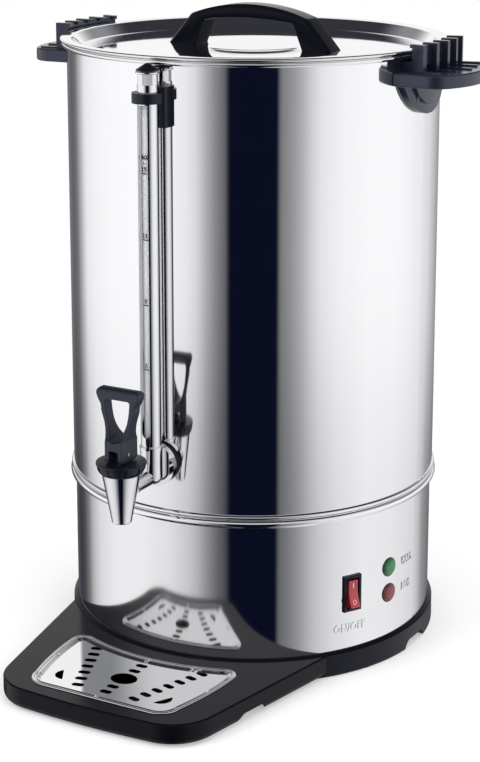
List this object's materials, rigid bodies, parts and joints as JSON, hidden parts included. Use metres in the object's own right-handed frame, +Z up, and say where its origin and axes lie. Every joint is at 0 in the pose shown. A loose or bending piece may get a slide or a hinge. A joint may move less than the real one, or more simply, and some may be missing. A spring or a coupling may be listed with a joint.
{
  "type": "coffee urn",
  "caption": "Steel coffee urn with a percolator, lift-off lid, sight gauge, lever tap, drip tray with grid, side handles with combs, rocker switch and pilot lamps.",
  "frame": {"origin": "On the floor, on the axis of the cylindrical body.", "axes": "+Z up, the tap and the tray point to -Y, +X is on the right of someone who faces the tap."},
  "size_m": [0.371, 0.3951, 0.4885],
  "materials": {
    "polished_steel": "bright stainless steel sheet, brushed to a near mirror",
    "pressed_steel": "polished stainless steel pressing",
    "inner_steel": "plain stainless steel",
    "chrome": "bright chrome plating",
    "black_plastic": "black moulded plastic with a fine grain",
    "tray_plastic": "black moulded plastic, satin",
    "gauge_glass": "clear glass tube",
    "silicone": "translucent silicone",
    "rubber": "black rubber",
    "red_rocker": "translucent red plastic",
    "green_lens": "translucent green plastic",
    "red_lens": "translucent red plastic",
    "lamp_body": "black plastic",
    "brass": "bare brass",
    "zinc_steel": "zinc plated steel",
    "cast_aluminium": "cast aluminium",
    "white_plastic": "white plastic"
  },
  "bodies": {
    "root": {"tank_shell": "polished_steel", "tank_bottom": "inner_steel", "lower_housing": "polished_steel", "base_ring": "black_plastic", "feet": "rubber", "bottom_plate": "inner_steel", "bottom_screws": "zinc_steel", "tie_studs": "zinc_steel", "tie_nuts": "zinc_steel", "outlet_tee": "chrome", "wall_gasket": "silicone", "inner_washer": "inner_steel", "lock_nut": "inner_steel", "gauge_guard": "chrome", "gauge_glass": "gauge_glass", "gauge_seals": "silicone", "gauge_cap": "chrome", "gauge_cap_tip": "black_plastic", "gauge_bracket": "black_plastic", "gauge_bracket_screw": "inner_steel", "tap_body": "chrome", "tap_bonnet": "black_plastic", "tap_spring": "inner_steel", "side_handle_left": "black_plastic", "side_handle_right": "black_plastic", "handle_screws": "inner_steel", "backing_plates": "inner_steel", "switch_case": "lamp_body", "lamp_lens_green": "green_lens", "lamp_lens_red": "red_lens", "lamp_holders": "lamp_body", "power_inlet": "lamp_body", "inlet_contacts": "brass", "inlet_screws": "zinc_steel", "boil_element": "cast_aluminium", "element_clamp": "zinc_steel", "heater_stud": "inner_steel", "heater_nut": "zinc_steel", "warm_element": "cast_aluminium", "thermostat": "white_plastic", "thermal_cutout": "white_plastic", "terminal_block": "white_plastic"},
    "lid": {"lid_pan": "pressed_steel", "lid_handle": "black_plastic", "lid_screws": "inner_steel"},
    "spreader": {"spreader": "inner_steel"},
    "basket": {"basket": "inner_steel"},
    "riser": {"riser_tube": "inner_steel", "pump_bell": "inner_steel"},
    "stem": {"tap_stem": "inner_steel", "seat_cup": "silicone"},
    "lever": {"tap_lever": "black_plastic", "lever_pin": "inner_steel"},
    "rocker": {"rocker": "red_rocker"},
    "tray": {"drip_tray": "tray_plastic", "tray_pads": "rubber"},
    "grid": {"drip_grid": "pressed_steel"}
  },
  "joints": [
    {"name": "lid_lift", "type": "slide", "parent": "root", "child": "lid", "axis": [0, 0, 1], "range_m": [0, 0.6]},
    {"name": "spreader_lift", "type": "slide", "parent": "root", "child": "spreader", "axis": [0, 0, 1], "range_m": [0, 0.54]},
    {"name": "basket_lift", "type": "slide", "parent": "root", "child": "basket", "axis": [0, 0, 1], "range_m": [0, 0.48]},
    {"name": "riser_lift", "type": "slide", "parent": "root", "child": "riser", "axis": [0, 0, 1], "range_m": [0, 0.348]},
    {"name": "stem_lift", "type": "slide", "parent": "root", "child": "stem", "axis": [0, 0, 1], "range_m": [0, 0.0038], "deforming": ["tap_spring"]},
    {"name": "lever_tilt", "type": "hinge", "parent": "stem", "child": "lever", "pos_m": [0, -0.194, 0.188], "axis": [1, 0, 0], "range_deg": [0, 35], "stiffness_Nm_per_rad": 0.25, "springref_deg": -17.19},
    {"name": "rocker_tip", "type": "hinge", "parent": "root", "child": "rocker", "pos_m": [0.12074, -0.06887, 0.0623], "axis": [0.4955, 0.8686, 0], "range_deg": [0, 20]},
    {"name": "tray_pull", "type": "slide", "parent": "root", "child": "tray", "axis": [0, -1, 0], "range_m": [0, 0.08]},
    {"name": "grid_lift", "type": "slide", "parent": "tray", "child": "grid", "axis": [0, 0, 1], "range_m": [0, 0.05]}
  ],
  "couplings": [
    {"joint": "spreader_lift", "follows": "lid_lift", "ratio": 0.9},
    {"joint": "basket_lift", "follows": "lid_lift", "ratio": 0.8},
    {"joint": "riser_lift", "follows": "lid_lift", "ratio": 0.58},
    {"joint": "stem_lift", "follows": "lever_tilt", "m_per_rad": 0.0062}
  ]
}
